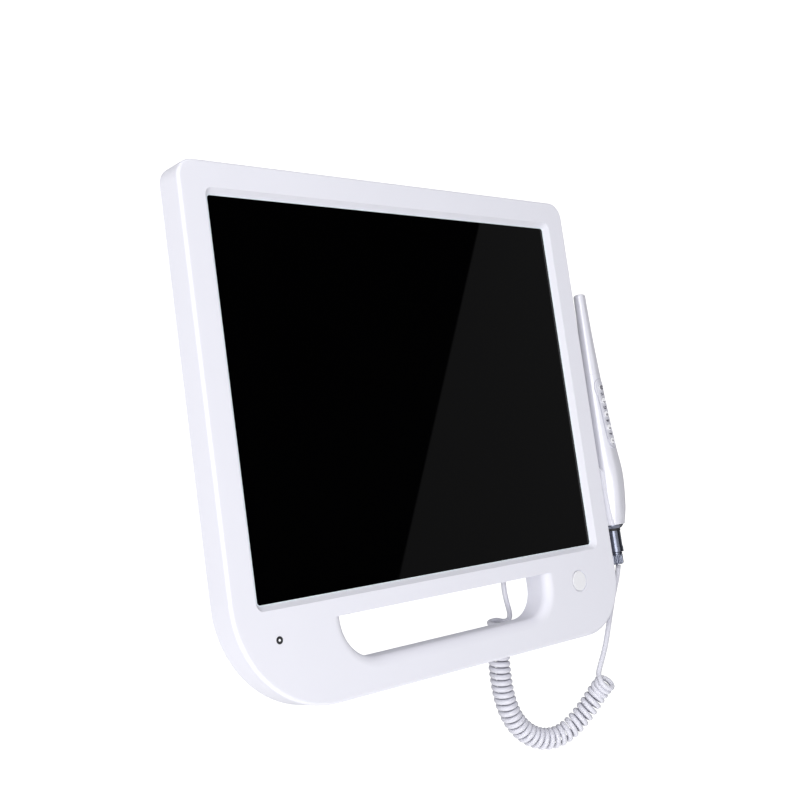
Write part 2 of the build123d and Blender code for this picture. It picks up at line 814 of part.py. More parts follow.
cup_top_z = -72.0
cup_low_z = -122.0
cup_gap = 0.35
cup_wall = 2.0
cup_lip_y = wand_y - 6.2
cup_outer = round_form(cavity_forms, cup_gap + cup_wall)
cup_inner = round_form(cavity_forms, cup_gap)

with BuildPart() as wand_holder:
    add(cup_outer)
    with BuildSketch(Plane.YZ.offset(wand_x - 30)) as near_side:
        with BuildLine():
            Polyline(
                (cup_lip_y, cup_low_z),
                (wand_y + 25, cup_low_z),
                (wand_y + 25, cup_top_z),
                (cup_lip_y, cup_top_z),
                close=True,
            )
        make_face()
        fillet(near_side.vertices().sort_by(Axis.Y)[-2:].sort_by(Axis.X)[0], 7)
    extrude(amount=60, mode=Mode.INTERSECT)
    with BuildSketch(Plane.YZ.offset(wand_x)):
        with Locations((wand_y - 15, (cup_top_z + cup_low_z) / 2)):
            Rectangle(30, cup_top_z - cup_low_z + 20)
    extrude(amount=30, mode=Mode.SUBTRACT)
    # Foot that the two screws pull against the monitor's right wall.
    with BuildSketch(Plane.YZ.offset(half_w + 0.05)):
        with Locations((holder_screw_y, (holder_screw_z[0] + holder_screw_z[1]) / 2)):
            RectangleRounded(14, 40, 3)
    extrude(amount=12)
    add(cup_inner, mode=Mode.SUBTRACT)
    with BuildSketch(Plane.YZ.offset(half_w + 0.05)):
        with Locations(*[(holder_screw_y, z) for z in holder_screw_z]):
            Circle(1.35)
    extrude(amount=4, mode=Mode.SUBTRACT)
finish(wand_holder.part, "wand_holder")

with BuildPart() as holder_screws:
    with BuildSketch(Plane.YZ.offset(half_w - wall - 0.05)):
        with Locations(*[(holder_screw_y, z) for z in holder_screw_z]):
            Circle(2.7)
    extrude(amount=-1.8)
    with BuildSketch(Plane.YZ.offset(half_w - wall - 0.05)):
        with Locations(*[(holder_screw_y, z) for z in holder_screw_z]):
            Circle(1.3)
    extrude(amount=wall + 3.6)
finish(holder_screws.part, "holder_screws")

# ---- Lead ------------------------------------------------------------------------------

plug_low_z = -128.0
with BuildPart() as rear_plug:
    with BuildSketch(Plane((plug_x, plug_y, bay_top_z - 1.6))):
        Circle(4.5)
    extrude(amount=8)
    with BuildSketch(Plane((plug_x, plug_y, bay_top_z - 1.6))):
        Circle(6.2)
    extrude(amount=plug_low_z - bay_top_z + 1.6)
finish(rear_plug.part, "rear_plug")

with BuildPart() as plug_boot:
    with BuildSketch(Plane((plug_x, plug_y, plug_low_z))):
        Circle(4.8)
    with BuildSketch(Plane((plug_x, plug_y, boot_end_z))):
        Circle(2.9)
    loft()
finish(plug_boot.part, "plug_boot")

# Centre lines, from point to point; each corner is rounded as far as its runs allow.
upper_route = [
    (wand_x, connector_y, connector_end_z - 0.7),
    (wand_x - 2.4, connector_y + 0.4, -164.8),
    (202.4, -38.1, -173.2),
    (195.6, -39.1, -182.0),
    (188.6, -41.1, -190.3),
    (180.6, -43.4, -199.5),
    (173.5, -45.0, -209.5),
    (166.9, -45.8, -219.4),
    (160.0, -45.9, -228.7),
    (153.6, -45.4, -237.8),
    (150.2, -45.0, -246.8),
]
coil_route = [
    (157.6, -49.7, -243.7),
    (154.8, -43.9, -251.0),
    (150.4, -37.7, -259.4),
    (144.1, -31.2, -268.9),
    (136.0, -24.9, -277.4),
    (126.0, -19.4, -282.9),
    (114.8, -14.2, -283.4),
    (103.6, -9.9, -278.9),
    (93.8, -7.2, -270.0),
    (86.8, -6.0, -258.6),
    (82.6, -6.0, -245.6),
    (80.3, -7.1, -232.2),
    (78.9, -8.7, -218.8),
    (78.4, -10.8, -203.6),
    (78.3, -13.4, -186.0),
]
tail_route = [
    (plug_x, plug_y, boot_end_z),
    (plug_x, plug_y, -158.0),
    (91.6, plug_y, -166.5),
    (90.3, plug_y + 0.1, -175.0),
    (87.6, plug_y + 0.3, -183.0),
    (84.0, plug_y + 0.5, -190.0),
]


def bend_radii(route):
    """Largest tangent arc at each corner: 0.45 of the shorter run over tan(half the turn)."""
    points = [Vector(*point) for point in route]
    radii = []
    for before, corner, after in zip(points, points[1:], points[2:]):
        arriving = corner - before
        leaving = after - corner
        turn = math.radians(arriving.get_angle(leaving))
        radii.append(0.45 * min(arriving.length, leaving.length) / math.tan(turn / 2))
    return radii


def cord_tube(name, route, radius):
    """A round tube along a route of straight runs joined by tangent arcs."""
    radii = bend_radii(route)
    with BuildPart() as tube:
        with BuildLine() as path:
            FilletPolyline(*route, radius=radii)
        with BuildSketch(path.line ^ 0):
            Circle(radius)
        sweep()
    length = path.wire().length
    expected = math.pi * radius**2 * length
    print(name, "radii", [round(r, 1) for r in radii], "length", round(length, 1))
    print(name, "volume", round(tube.part.volume), "expected", round(expected))
    finish(tube.part, name)


cord_tube("cord_upper", upper_route, cord_r)
cord_tube("cord_coil", coil_route, coil_r)
cord_tube("cord_tail", tail_route, cord_r)
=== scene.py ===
import json
import math

import bmesh
import bpy
from mathutils import Matrix, Vector
from mathutils.bvhtree import BVHTree


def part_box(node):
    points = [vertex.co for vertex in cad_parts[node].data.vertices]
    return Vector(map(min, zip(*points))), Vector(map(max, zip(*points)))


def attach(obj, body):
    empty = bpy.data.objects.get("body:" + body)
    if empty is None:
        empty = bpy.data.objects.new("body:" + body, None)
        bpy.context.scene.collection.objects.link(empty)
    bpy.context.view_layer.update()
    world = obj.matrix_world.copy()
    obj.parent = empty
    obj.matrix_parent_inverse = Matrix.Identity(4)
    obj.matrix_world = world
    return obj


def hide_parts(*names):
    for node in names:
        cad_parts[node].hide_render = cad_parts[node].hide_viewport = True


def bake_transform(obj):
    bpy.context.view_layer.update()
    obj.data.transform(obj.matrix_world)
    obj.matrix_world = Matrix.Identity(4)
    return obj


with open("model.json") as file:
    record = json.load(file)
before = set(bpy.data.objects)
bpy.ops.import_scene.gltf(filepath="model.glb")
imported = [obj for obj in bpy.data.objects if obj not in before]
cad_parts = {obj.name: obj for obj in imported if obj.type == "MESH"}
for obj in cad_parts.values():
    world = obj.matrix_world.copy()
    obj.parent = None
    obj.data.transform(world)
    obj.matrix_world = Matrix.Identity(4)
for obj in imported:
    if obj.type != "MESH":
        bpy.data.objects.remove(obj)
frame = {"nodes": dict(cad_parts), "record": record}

scene = bpy.context.scene
nodes = frame["nodes"]
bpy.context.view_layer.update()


# ---- Camera ----------------------------------------------------------------------------

camera_place = (-0.5966, -0.6642, -0.09225)
camera = bpy.data.objects.new("camera", bpy.data.cameras.new("camera"))
scene.collection.objects.link(camera)
camera.data.sensor_width = 36.0
camera.data.lens = 52.39
camera.data.clip_start = 0.01
camera.data.clip_end = 60.0
camera_axes = Matrix((
    (0.7353, 0.0328, -0.6769),
    (-0.6639, -0.1662, -0.7292),
    (-0.1364, 0.9855, -0.1004),
))
camera.matrix_world = Matrix.Translation(camera_place) @ camera_axes.to_4x4()
scene.camera = camera


# ---- Mesh helpers ----------------------------------------------------------------------


def ring_faces(rings, size, closed):
    """Faces that join rings of points, round a loop, or along a line with a cap at both ends."""
    faces = []
    for ring in range(rings if closed else rings - 1):
        after = (ring + 1) % rings
        for k in range(size):
            step = (k + 1) % size
            faces.append((ring * size + k, ring * size + step, after * size + step, after * size + k))
    if not closed:
        faces.append(tuple(range(size))[::-1])
        faces.append(tuple(range((rings - 1) * size, rings * size)))
    return faces


def mesh_object(name, vertices, faces, smooth):
    """A mesh in the scene, shaded smooth or flat."""
    mesh = bpy.data.meshes.new(name)
    mesh.from_pydata(vertices, [], faces)
    mesh.polygons.foreach_set("use_smooth", [smooth] * len(mesh.polygons))
    mesh.update()
    made = bpy.data.objects.new(name, mesh)
    scene.collection.objects.link(made)
    return made


# ---- Lead ------------------------------------------------------------------------------

cord_diameter = 0.0042
cord_sides = 14
coil_radius = 0.0069
points_per_turn = 16
coil_lead_in = 0.0005
coil_lead_out = 0.0012

# From the handpiece's connector down to the coil, along the coil's middle, and up to the plug.
upper_route = [
    (0.2100, -0.0387, -0.1568),
    (0.2076, -0.0383, -0.1648),
    (0.2024, -0.0381, -0.1732),
    (0.1956, -0.0391, -0.1820),
    (0.1886, -0.0411, -0.1903),
    (0.1806, -0.0434, -0.1995),
    (0.1735, -0.0450, -0.2095),
    (0.1669, -0.0458, -0.2194),
    (0.1600, -0.0459, -0.2287),
    (0.1536, -0.0454, -0.2378),
]
coil_route = [
    (0.1559, -0.0515, -0.2439),
    (0.1558, -0.0428, -0.2508),
    (0.1504, -0.0377, -0.2594),
    (0.1441, -0.0312, -0.2689),
    (0.1360, -0.0249, -0.2774),
    (0.1260, -0.0194, -0.2829),
    (0.1148, -0.0142, -0.2834),
    (0.1036, -0.0099, -0.2789),
    (0.0938, -0.0072, -0.2700),
    (0.0868, -0.0060, -0.2586),
    (0.0826, -0.0060, -0.2456),
    (0.0803, -0.0071, -0.2322),
    (0.0789, -0.0087, -0.2188),
    (0.0784, -0.0108, -0.2036),
    (0.0800, -0.0140, -0.1787),
]
tail_route = [
    (0.0857, -0.0068, -0.1828),
    (0.0902, -0.0078, -0.1847),
    (0.0935, -0.0106, -0.1850),
    (0.0944, -0.0134, -0.1820),
    (0.0937, -0.0140, -0.1765),
    (0.0923, -0.0140, -0.1700),
    (0.0914, -0.0140, -0.1625),
    (0.0915, -0.0140, -0.1560),
    (0.0920, -0.0140, -0.1515),
    (0.0920, -0.0140, -0.1490),
]


def nurbs_line(name, points, resolution):
    """The points that a quadratic NURBS spline runs through, read from a curve with no bevel."""
    curve = bpy.data.curves.new(name, "CURVE")
    curve.dimensions = "3D"
    curve.resolution_u = resolution
    spline = curve.splines.new("NURBS")
    spline.points.add(len(points) - 1)
    for target, point in zip(spline.points, points):
        target.co = (*point, 1.0)
    spline.order_u = 3
    spline.use_endpoint_u = True
    holder = bpy.data.objects.new(name, curve)
    scene.collection.objects.link(holder)
    mesh = bpy.data.meshes.new_from_object(holder)
    line = [vertex.co.copy() for vertex in mesh.vertices]
    bpy.data.meshes.remove(mesh)
    bpy.data.objects.remove(holder)
    bpy.data.curves.remove(curve)
    return line


def distances(line):
    """Length along a line at each of its points."""
    along = [0.0]
    for before, after in zip(line, line[1:]):
        along.append(along[-1] + (after - before).length)
    return along


def carried_frames(line, first_side):
    """A tangent and a side direction at each point of a line, carried along without twist."""
    frames = []
    side = first_side
    for index in range(len(line)):
        tangent = (line[min(index + 1, len(line) - 1)] - line[max(index - 1, 0)]).normalized()
        side = (side - tangent * side.dot(tangent)).normalized()
        frames.append((tangent, side))
    return frames


def between(table, position):
    """Straight interpolation in a table of (position, value) pairs."""
    for (low, low_value), (high, high_value) in zip(table, table[1:]):
        if position <= high:
            share = (position - low) / (high - low)
            return low_value + share * (high_value - low_value)
    return table[-1][1]


# Along the coil: the rise of one turn, and the share of the full radius.
pitch_table = [(0.0, 0.0046), (0.012, 0.0052), (0.035, 0.0056), (0.07, 0.0052), (0.11, 0.0050), (0.3, 0.0050)]
spread_table = [(0.0, 0.94), (0.04, 0.94), (0.09, 0.99), (0.3, 1.0)]
# Where the first and last turns meet the straight stretches, seen from the coil's middle.
start_direction = Vector((-0.84, 0.35, 0.42))
end_direction = Vector((0.05, 0.98, 0.1))


def phase_of(direction, frame_at):
    """The angle of a direction round a line, in one of its carried frames."""
    tangent, side = frame_at
    return math.atan2(direction.dot(tangent.cross(side)), direction.dot(side))


def helix_points():
    """Control points of the curly stretch: left-handed turns round the coil's own line."""
    line = nurbs_line("coil_line", coil_route, 24)
    along = distances(line)
    frames = carried_frames(line, camera_side)
    total = along[-1]
    turns = []
    phase = phase_of(start_direction, frames[0])
    last_phase = phase_of(end_direction, frames[-1])
    step = 2 * math.pi / points_per_turn
    position = coil_lead_in
    index = 0
    while position < total - coil_lead_out:
        while index < len(along) - 2 and along[index + 1] < position:
            index += 1
        share = (position - along[index]) / (along[index + 1] - along[index])
        centre = line[index].lerp(line[index + 1], share)
        tangent = frames[index][0].lerp(frames[index + 1][0], share).normalized()
        side = frames[index][1].lerp(frames[index + 1][1], share).normalized()
        up = tangent.cross(side)
        radius = coil_radius * between(spread_table, position)
        turns.append(centre + radius * (math.cos(phase) * side + math.sin(phase) * up))
        position += between(pitch_table, position) / points_per_turn
        phase -= step
    # The last turn stops where the tail leaves it.
    while abs((phase + step - last_phase + math.pi) % (2 * math.pi) - math.pi) > step / 2:
        turns.pop()
        phase += step
    return turns


coil_start = Vector(coil_route[0])
camera_side = (camera.matrix_world.translation - coil_start).normalized()
cord_points = [Vector(p) for p in upper_route] + helix_points() + [Vector(p) for p in tail_route]
cord_line = nurbs_line("cord_line", cord_points, 4)


def tube(name, line, radius, sides):
    """A smooth tube round a line, closed at both ends."""
    frames = carried_frames(line, Vector((0.3, 1.0, 0.2)).normalized())
    vertices = []
    for centre, (tangent, side) in zip(line, frames):
        up = tangent.cross(side)
        for k in range(sides):
            angle = 2 * math.pi * k / sides
            vertices.append(centre + radius * (math.cos(angle) * side + math.sin(angle) * up))
    return mesh_object(name, vertices, ring_faces(len(line), sides, closed=False), smooth=True)


lead = tube("lead", cord_line, cord_diameter / 2, cord_sides)
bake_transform(lead)
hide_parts("cord_upper", "cord_coil", "cord_tail")


# ---- Materials -------------------------------------------------------------------------

grain_depth = 0.00003
coat_roughness = 0.06


def surface(name, colour, roughness, metallic=0.0, mottle=0.02, mottle_scale=18.0, grain_scale=900.0,
            grain=0.02, smudge=0.05, coat=0.0, stretch=(1, 1, 1), soften=0.0, gloss=0.5):
    """A shader with clouded colour, smudged roughness and a fine grain in its relief."""
    made = bpy.data.materials.new(name)
    made.use_nodes = True
    tree = made.node_tree
    shader = tree.nodes["Principled BSDF"]
    shader.inputs["Metallic"].default_value = metallic
    shader.inputs["Specular IOR Level"].default_value = gloss
    shader.inputs["Coat Weight"].default_value = coat
    shader.inputs["Coat Roughness"].default_value = coat_roughness
    place = tree.nodes.new("ShaderNodeTexCoord")
    scaled = tree.nodes.new("ShaderNodeMapping")
    scaled.inputs["Scale"].default_value = stretch
    tree.links.new(place.outputs["Object"], scaled.inputs["Vector"])
    cloud = tree.nodes.new("ShaderNodeTexNoise")
    cloud.inputs["Scale"].default_value = mottle_scale
    cloud.inputs["Detail"].default_value = 5.0
    tree.links.new(scaled.outputs["Vector"], cloud.inputs["Vector"])
    tint = tree.nodes.new("ShaderNodeValToRGB")
    low = [max(0.0, c * (1 - mottle)) for c in colour]
    high = [min(1.0, c * (1 + mottle)) for c in colour]
    tint.color_ramp.elements[0].position = 0.3
    tint.color_ramp.elements[0].color = (*low, 1)
    tint.color_ramp.elements[1].position = 0.7
    tint.color_ramp.elements[1].color = (*high, 1)
    tree.links.new(cloud.outputs["Fac"], tint.inputs["Fac"])
    tree.links.new(tint.outputs["Color"], shader.inputs["Base Color"])
    wear = tree.nodes.new("ShaderNodeTexNoise")
    wear.inputs["Scale"].default_value = mottle_scale * 3.1
    wear.inputs["Detail"].default_value = 8.0
    wear.inputs["Roughness"].default_value = 0.7
    tree.links.new(scaled.outputs["Vector"], wear.inputs["Vector"])
    spread = tree.nodes.new("ShaderNodeMapRange")
    spread.inputs["From Min"].default_value = 0.35
    spread.inputs["From Max"].default_value = 0.75
    spread.inputs["To Min"].default_value = roughness
    spread.inputs["To Max"].default_value = min(1.0, roughness + smudge)
    tree.links.new(wear.outputs["Fac"], spread.inputs["Value"])
    tree.links.new(spread.outputs["Result"], shader.inputs["Roughness"])
    relief = tree.nodes.new("ShaderNodeTexNoise")
    relief.inputs["Scale"].default_value = grain_scale
    relief.inputs["Detail"].default_value = 3.0
    tree.links.new(scaled.outputs["Vector"], relief.inputs["Vector"])
    bump = tree.nodes.new("ShaderNodeBump")
    bump.inputs["Strength"].default_value = grain
    bump.inputs["Distance"].default_value = grain_depth
    tree.links.new(relief.outputs["Fac"], bump.inputs["Height"])
    if soften:
        rounded = tree.nodes.new("ShaderNodeBevel")
        rounded.samples = 8
        rounded.inputs["Radius"].default_value = soften
        tree.links.new(rounded.outputs["Normal"], bump.inputs["Normal"])
        tree.links.new(rounded.outputs["Normal"], shader.inputs["Coat Normal"])
    tree.links.new(bump.outputs["Normal"], shader.inputs["Normal"])
    return made


white = surface("housing_gloss", (0.757, 0.757, 0.822), 0.38, mottle=0.006, grain_scale=350, grain=0.25,
                smudge=0.06, gloss=0.3)
wand_white = surface("handpiece_gloss", (0.73, 0.73, 0.795), 0.29, metallic=0.30, mottle=0.006, grain=0.03,
                     coat=0.3, soften=0.0006)
key_white = surface("key_satin", (0.81, 0.81, 0.84), 0.3, mottle=0.01, grain_scale=1500, grain=0.5)
strip_grey = surface("strip_grey", (0.70, 0.70, 0.77), 0.3, metallic=0.3, mottle=0.01, grain_scale=1600,
                     grain=0.12)
glass_black = surface("screen_black", (0.0004, 0.0004, 0.0005), 0.01, mottle=0.3, mottle_scale=6,
                      grain_scale=60, grain=0.01, smudge=0.01)
lcd_black = surface("lcd_black", (0.02, 0.02, 0.024), 0.3)
acrylic = surface("acrylic", (0.9, 0.93, 0.95), 0.1, mottle=0.01)
lens_glass = surface("lens_glass", (0.05, 0.05, 0.07), 0.03, mottle=0.2, coat=1.0)
sheet_steel = surface("sheet_steel", (0.62, 0.63, 0.65), 0.3, metallic=1.0, mottle=0.06, grain_scale=500,
                      grain=0.3, stretch=(1, 1, 8))
sleeve_steel = surface("sleeve_steel", (0.20, 0.215, 0.27), 0.22, metallic=1.0, mottle=0.08, mottle_scale=60,
                       grain_scale=700, grain=0.4, stretch=(1, 1, 10))
screw_steel = surface("screw_steel", (0.52, 0.52, 0.55), 0.3, metallic=1.0, mottle=0.08, mottle_scale=200)
brass = surface("brass", (0.75, 0.55, 0.24), 0.28, metallic=1.0, mottle=0.1, mottle_scale=150)
aluminium = surface("aluminium", (0.72, 0.73, 0.75), 0.38, metallic=1.0, mottle=0.05, mottle_scale=90)
board_green = surface("board_green", (0.02, 0.16, 0.07), 0.35, mottle=0.25, mottle_scale=160, grain=0.5)
black_plastic = surface("black_plastic", (0.022, 0.022, 0.026), 0.38, mottle=0.15, grain_scale=1400, grain=0.6)
socket_metal = surface("socket_metal", (0.7, 0.7, 0.72), 0.2, metallic=1.0, mottle=0.06, mottle_scale=120)
seal_black = surface("seal_black", (0.014, 0.014, 0.016), 0.55, mottle=0.2, grain_scale=2000, grain=0.6)
lamp_white = surface("lamp_white", (0.92, 0.93, 0.95), 0.08, mottle=0.02, coat=0.6)
cord_white = surface("cord_pvc", (0.66, 0.66, 0.725), 0.28, mottle=0.015, mottle_scale=60, grain=0.05)
# Light bluish-white of the screen's bead: a painted highlight standing in for the glint along the glass's
# edge.
painted_glint_white = surface("painted_glint_white", (0.80, 0.88, 0.92), 0.12, mottle=0.02, mottle_scale=40, grain=0.1, coat=0.6)
ink_grey = surface("ink_grey", (0.05, 0.045, 0.075), 0.42, mottle=0.12, mottle_scale=700, grain_scale=2500,
                   grain=0.3)
# Darker grey of the strip's crease line: painted shade standing in for the shadow in the crease.
crease_painted_shade = surface("crease_painted_shade", (0.42, 0.42, 0.50), 0.4, mottle=0.05, mottle_scale=300, grain=0.3)
ring_steel = surface("ring_steel", (0.14, 0.15, 0.19), 0.16, metallic=1.0, mottle=0.08, mottle_scale=90,
                     grain=0.3)

slot_material = {
    "housing_white": white, "handpiece_white": wand_white, "key_white": key_white, "panel_grey": strip_grey,
    "screen_black": glass_black, "lcd_black": lcd_black, "acrylic": acrylic, "lens_glass": lens_glass,
    "sheet_steel": sheet_steel, "connector_steel": sleeve_steel, "screw_steel": screw_steel, "brass": brass,
    "heat_sink_aluminium": aluminium, "circuit_green": board_green, "black_plastic": black_plastic,
    "socket_metal": socket_metal, "seal_black": seal_black, "lamp_white": lamp_white, "cord_white": cord_white,
}
for part in frame["record"]["subparts"]:
    dressed = nodes[part["node"]]
    own = ring_steel if part["node"] == "base_ring" else slot_material[part["material_slot"]]
    dressed.data.materials.clear()
    dressed.data.materials.append(own)
lead.data.materials.append(cord_white)


# ---- Detailed pieces -------------------------------------------------------------------


def new_piece(name, vertices, faces, body, slot, material, smooth=True):
    """A mesh piece that rides on a body and wears one material."""
    piece = mesh_object(name, vertices, faces, smooth)
    work = bmesh.new()
    work.from_mesh(piece.data)
    bmesh.ops.recalc_face_normals(work, faces=work.faces)
    work.to_mesh(piece.data)
    work.free()
    piece.data.materials.append(material)
    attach(piece, body)
    return piece


# Bead round the screen, between the glass and the window's bevel: a real bead shape whose light bluish-white
# colour is a painted highlight, standing in for the glint along the glass's edge.
glass_low, glass_high = (Vector(corner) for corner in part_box("screen_glass"))
glass_margin = 0.005
bead_r = 0.00036
bead_half_x = (glass_high.x - glass_low.x) / 2 - glass_margin - bead_r * 0.7
bead_half_z = (glass_high.z - glass_low.z) / 2 - glass_margin - bead_r * 0.7
bead_corner = 0.0026
bead_sides = 10
corner_steps = 8
bead_mid = (glass_low + glass_high) / 2
bead_y = glass_low.y - bead_r * 0.55
bead_origin = Vector((bead_mid.x, bead_y, bead_mid.z))
bead_line = []
for sign_x, sign_z, start in ((1, 1, 0), (-1, 1, 90), (-1, -1, 180), (1, -1, 270)):
    for step in range(corner_steps + 1):
        angle = math.radians(start + step * 90 / corner_steps)
        outward = Vector((math.cos(angle), 0, math.sin(angle)))
        corner_mid = Vector((sign_x * (bead_half_x - bead_corner), 0, sign_z * (bead_half_z - bead_corner)))
        bead_line.append((bead_origin + corner_mid + outward * bead_corner, outward))

bead_points = []
for centre, outward in bead_line:
    for k in range(bead_sides):
        angle = 2 * math.pi * k / bead_sides
        bead_points.append(centre + bead_r * (math.cos(angle) * outward + math.sin(angle) * Vector((0, 1, 0))))
bead_faces = ring_faces(len(bead_line), bead_sides, closed=True)
new_piece("screen_edge", bead_points, bead_faces, "monitor", "acrylic", painted_glint_white)


def lathe(name, profile, centre, wave, sides, body, slot, material, smooth):
    """A turned ring or sleeve: profile is a closed list of (radius, z), wave(k, i) adds to a radius."""
    vertices = []
    for k in range(sides):
        angle = 2 * math.pi * k / sides
        for i, (radius, z) in enumerate(profile):
            reach = radius + wave(k, i)
            vertices.append((centre[0] + reach * math.cos(angle), centre[1] + reach * math.sin(angle), z))
    faces = ring_faces(sides, len(profile), closed=True)
    return new_piece(name, vertices, faces, body, slot, material, smooth)


# Lock nut with rounded flutes between its two plain collars.
nut_low, nut_high = (Vector(corner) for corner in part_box("lock_nut"))
nut_axis = ((nut_low.x + nut_high.x) / 2, (nut_low.y + nut_high.y) / 2)
nut_r = (nut_high.x - nut_low.x) / 2
nut_bore = 0.00366
flutes = 16
steps_per_flute = 12
flute_depth = 0.00055
nut_profile = [
    (nut_bore, nut_high.z), (nut_r - 0.0005, nut_high.z), (nut_r, nut_high.z - 0.0005),
    (nut_r, nut_high.z - 0.0014), (nut_r - 0.00035, nut_high.z - 0.0016),
    (nut_r - 0.00035, nut_high.z - 0.0019), (nut_r, nut_high.z - 0.0022),
    (nut_r, nut_high.z - 0.0035), (nut_r, nut_low.z + 0.0030), (nut_r, nut_low.z + 0.0012),
    (nut_r - 0.0003, nut_low.z + 0.0005), (nut_r - 0.0009, nut_low.z), (nut_bore, nut_low.z),
]
fluted_rows = (7, 8, 9)


def flute(k, i):
    """How far the nut's flutes cut into it."""
    if i in fluted_rows:
        return -flute_depth * (0.5 + 0.5 * math.cos(2 * math.pi * k / steps_per_flute)) ** 2
    return 0.0


fluted_nut = lathe("fluted_nut", nut_profile, nut_axis, flute, flutes * steps_per_flute, "nut",
                   "connector_steel", sleeve_steel, smooth=False)
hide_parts("lock_nut")

# Plug boot with flexing ribs cut between rings.
boot_low, boot_high = (Vector(corner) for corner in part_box("plug_boot"))
boot_axis = ((boot_low.x + boot_high.x) / 2, (boot_low.y + boot_high.y) / 2)
boot_length = boot_high.z - boot_low.z
boot_bore = 0.0019
boot_top_r = 0.0048
boot_tip_r = 0.0029
boot_collar = 0.12
boot_lip = 0.97
rib_depth = 0.00034
ribs_per_length = 8
rib_steps = 66
boot_profile = [(boot_bore, boot_high.z)]
for step in range(rib_steps + 1):
    share = step / rib_steps
    taper = boot_top_r + (boot_tip_r - boot_top_r) * share
    rib = 0.0
    if share >= boot_collar:
        rib = rib_depth * (1 - math.cos(2 * math.pi * (share - boot_collar) * ribs_per_length))
    if share >= boot_lip:
        rib *= 0.3
    boot_profile.append((taper - rib, boot_high.z - boot_length * share))
boot_profile.append((boot_bore, boot_low.z))
ribbed_boot = lathe("ribbed_boot", boot_profile, boot_axis, lambda k, i: 0.0, 40, "monitor", "cord_white",
                    cord_white, smooth=True)
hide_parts("plug_boot")


# Marks of the control strip: they follow the handpiece's skin, found on the CAD meshes.
def skin_tree(*names):
    """A search tree over the meshes of some CAD nodes."""
    joined = bmesh.new()
    for name in names:
        joined.from_mesh(nodes[name].data)
    tree = BVHTree.FromBMesh(joined)
    joined.free()
    return tree


key_names = [f"key_{index}" for index in range(1, 6)]
in_front = -0.2
mark_lift = 0.00012
stroke_root = -0.00008
strip_skin = skin_tree("control_panel", "body_front_shell", *key_names)


def on_skin(x, z, lift):
    """The skin's point at a place seen from in front, raised by a small lift."""
    place = strip_skin.ray_cast(Vector((x, in_front, z)), Vector((0, 1, 0)))[0]
    return place + Vector((0, -lift, 0))


def stroke(path, width, lift, closed=False):
    """A thin raised line on the skin along a path of (x, z) points, with a crowned top."""
    shoulder = lift * 0.4
    crown = ((-0.5, stroke_root), (-0.5, shoulder), (-0.2, lift),
             (0.2, lift), (0.5, shoulder), (0.5, stroke_root))
    vertices = []
    count = len(path)
    for k, (x, z) in enumerate(path):
        before = path[(k - 1) % count] if closed or k else path[0]
        after = path[(k + 1) % count] if closed or k < count - 1 else path[-1]
        run = Vector((after[0] - before[0], after[1] - before[1])).normalized()
        across = Vector((-run.y, run.x))
        for share, height in crown:
            vertices.append(on_skin(x + across.x * width * share, z + across.y * width * share, height))
    return vertices, ring_faces(count, len(crown), closed)


def joined_strokes(strokes):
    """Several strokes as one list of vertices and faces."""
    vertices, faces = [], []
    for more_vertices, more_faces in strokes:
        faces.extend(tuple(index + len(vertices) for index in face) for face in more_faces)
        vertices.extend(more_vertices)
    return vertices, faces


def arc_path(x, z, radius, start, end, steps):
    """Points along an arc in front view, angles in degrees."""
    return [(x + radius * math.cos(math.radians(start + (end - start) * k / steps)),
             z + radius * math.sin(math.radians(start + (end - start) * k / steps))) for k in range(steps + 1)]


def dashes(x, z, *lines):
    """Short straight strokes given in millimetres from a centre."""
    made = []
    for (x0, z0), (x1, z1) in lines:
        made.append([(x + (x0 + (x1 - x0) * k / 4) / 1000, z + (z0 + (z1 - z0) * k / 4) / 1000)
                     for k in range(5)])
    return made


strip_x = (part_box("control_panel")[0][0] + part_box("control_panel")[1][0]) / 2
key_mids = []
for name in key_names:
    low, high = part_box(name)
    key_mids.append((low[2] + high[2]) / 2)

key_ring_r = 0.0034
key_ring_width = 0.0006
key_ring_lift = 0.0003
ring_paths = [arc_path(strip_x, z, key_ring_r, 0, 345, 23) for z in key_mids]
ring_strokes = [stroke(path, key_ring_width, key_ring_lift, closed=True) for path in ring_paths]
new_piece("key_rings", *joined_strokes(ring_strokes), "handpiece", "panel_grey", strip_grey)

icon_width = 0.0008
between_icons = []
for index, lines in enumerate((
    (((-1.9, 0.6), (-0.4, 0.9)), ((0.5, 0.9), (1.9, 0.7)), ((-1.6, -0.7), (1.7, -0.4))),
    (((-1.6, 1.0), (-1.3, -0.8)), ((-0.4, 0.9), (1.5, 0.8)), ((-1.2, -0.9), (1.3, -0.9)),
     ((1.5, 0.7), (1.4, -0.8))),
    (((-1.9, 0.4), (1.9, 0.5)), ((0.1, 0.3), (0.1, -1.0)), ((-1.4, -0.4), (-0.6, -0.4))),
    (((-1.8, 0.3), (1.6, 0.4)), ((0.7, 0.2), (0.7, -0.9)), ((-0.6, -0.3), (0.2, -0.3))),
)):
    middle = (key_mids[index] + key_mids[index + 1]) / 2
    between_icons.extend(stroke(path, icon_width, mark_lift) for path in dashes(strip_x, middle, *lines))
new_piece("strip_icons", *joined_strokes(between_icons), "handpiece", "panel_grey", ink_grey)

key_icons = (
    [arc_path(strip_x, key_mids[0], 0.00165, 20, 340, 18),
     *dashes(strip_x, key_mids[0], ((-1.0, 0.5), (1.0, 0.5)), ((-1.0, -0.5), (1.0, -0.5)))],
    [arc_path(strip_x, key_mids[1], 0.00125, 200, 350, 9)],
    [arc_path(strip_x, key_mids[2], 0.0011, 190, 370, 9),
     *dashes(strip_x, key_mids[2], ((0.0, 0.7), (0.0, -0.2)))],
    [arc_path(strip_x, key_mids[3], 0.0010, 200, 340, 8)],
    [*dashes(strip_x, key_mids[4], ((-0.6, 0.5), (0.6, 0.1)), ((0.6, 0.1), (-0.4, -0.7)))],
)
for name, paths in zip(key_names, key_icons):
    marks = joined_strokes([stroke(path, icon_width, mark_lift) for path in paths])
    new_piece(f"{name}_icon", *marks, f"{name}_body", "panel_grey", ink_grey)
